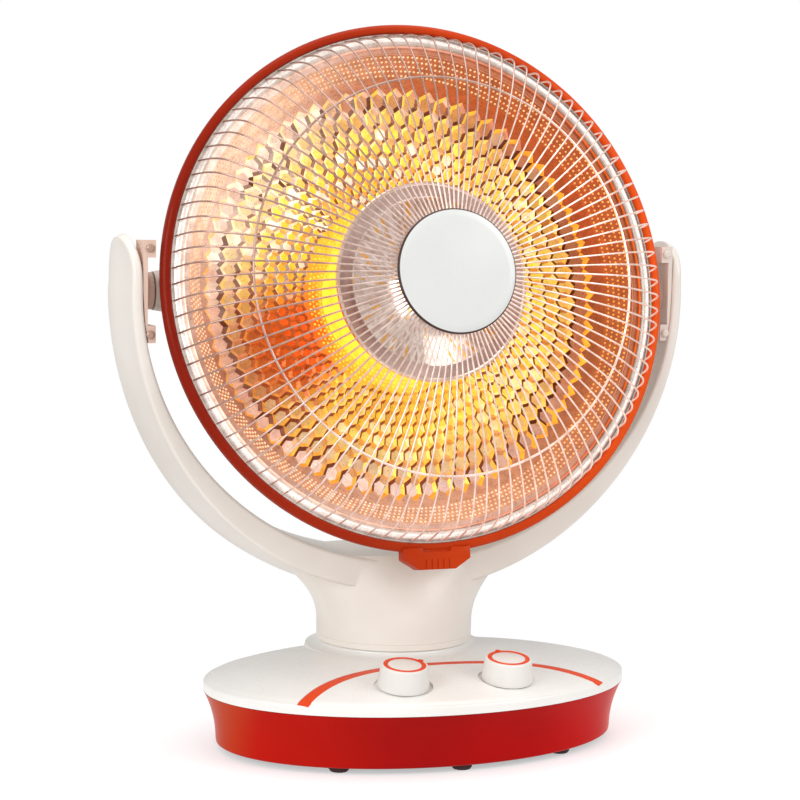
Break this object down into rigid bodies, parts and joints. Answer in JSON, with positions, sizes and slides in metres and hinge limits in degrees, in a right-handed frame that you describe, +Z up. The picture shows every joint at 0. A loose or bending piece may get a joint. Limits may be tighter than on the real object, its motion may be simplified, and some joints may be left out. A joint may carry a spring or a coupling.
{
  "type": "parabolic heater",
  "caption": "Dish heater: oval base with turning knobs, a swivelling U-shaped yoke and a tilting round head with a radial wire guard over a honeycomb reflector.",
  "frame": {"origin": "centre of the oval base on the floor", "axes": "+Z up, front of the heater faces -Y, +X to the right seen from the front"},
  "size_m": [0.4144, 0.2094, 0.5013],
  "materials": {
    "white_plastic": "satin warm white moulded plastic",
    "red_gloss": "deep glossy red",
    "orange_plastic": "satin orange",
    "chrome_wire": "bright plated wire",
    "polished_metal": "polished rolled band",
    "warm_reflector": "bright anodised sheet lit by the element",
    "steel": "plain steel",
    "cast_weight": "rough casting",
    "black_plastic": "matte black",
    "grey_plastic": "matte grey",
    "rubber": "dark red-brown soft rubber",
    "ceramic": "unglazed ceramic",
    "glowing_wire": "resistance wire, glowing",
    "nylon": "natural nylon",
    "bracket_plastic": "matte beige plastic"
  },
  "bodies": {
    "base": {"base_skirt": "red_gloss", "base_plate": "black_plastic", "base_cover": "white_plastic", "accent_arc": "orange_plastic", "ballast_weight": "cast_weight", "foot_1": "rubber", "foot_2": "rubber", "foot_3": "rubber", "foot_4": "rubber", "foot_5": "rubber", "foot_6": "rubber", "foot_7": "rubber", "foot_8": "rubber", "plate_screw_1": "steel", "plate_screw_2": "steel", "plate_screw_3": "steel", "plate_screw_4": "steel", "heat_switch": "black_plastic", "timer_unit": "black_plastic", "tip_switch": "black_plastic", "terminal_block": "nylon", "cord_inlet": "black_plastic", "swivel_washer": "nylon"},
    "heat_dial": {"heat_knob": "white_plastic", "heat_knob_ring": "orange_plastic", "heat_spindle": "steel"},
    "timer_dial": {"timer_knob": "white_plastic", "timer_knob_ring": "orange_plastic", "timer_spindle": "steel"},
    "plunger": {"tip_plunger": "grey_plastic"},
    "yoke_unit": {"yoke": "white_plastic", "swivel_tube": "steel", "swivel_retainer": "steel", "pivot_bracket_left": "bracket_plastic", "pivot_bracket_right": "bracket_plastic", "pivot_pin_left": "steel", "pivot_pin_right": "steel", "bracket_screw_left_lower": "steel", "bracket_screw_left_upper": "steel", "bracket_screw_right_lower": "steel", "bracket_screw_right_upper": "steel"},
    "head_unit": {"rear_housing": "white_plastic", "rear_cover": "white_plastic", "rim_ring": "orange_plastic", "guard_clip": "orange_plastic", "polished_band": "polished_metal", "reflector": "warm_reflector", "wire_guard": "chrome_wire", "guard_hoop": "chrome_wire", "hub_badge": "white_plastic", "hub_clamp": "white_plastic", "cap_reflector": "warm_reflector", "element_core": "ceramic", "heating_coil": "glowing_wire", "element_socket": "ceramic"}
  },
  "joints": [
    {"name": "yoke_swivel", "type": "hinge", "parent": "base", "child": "yoke_unit", "pos_m": [0, 0.048, 0.0622], "axis": [0, 0, 1], "range_deg": [-40, 40]},
    {"name": "head_tilt", "type": "hinge", "parent": "yoke_unit", "child": "head_unit", "pos_m": [0, 0.028, 0.312], "axis": [1, 0, 0], "range_deg": [-20, 8.5]},
    {"name": "heat_turn", "type": "hinge", "parent": "base", "child": "heat_dial", "pos_m": [-0.0372, -0.0731, 0.05385], "axis": [0, -0.1392, 0.9903], "range_deg": [-40, 230]},
    {"name": "timer_turn", "type": "hinge", "parent": "base", "child": "timer_dial", "pos_m": [0.0372, -0.0731, 0.05385], "axis": [0, -0.1392, 0.9903], "range_deg": [-270, 20]},
    {"name": "plunger_slide", "type": "slide", "parent": "base", "child": "plunger", "axis": [0, 0, 1], "range_m": [-0.003, 0], "stiffness_N_per_m": 150, "springref_m": -0.006}
  ]
}
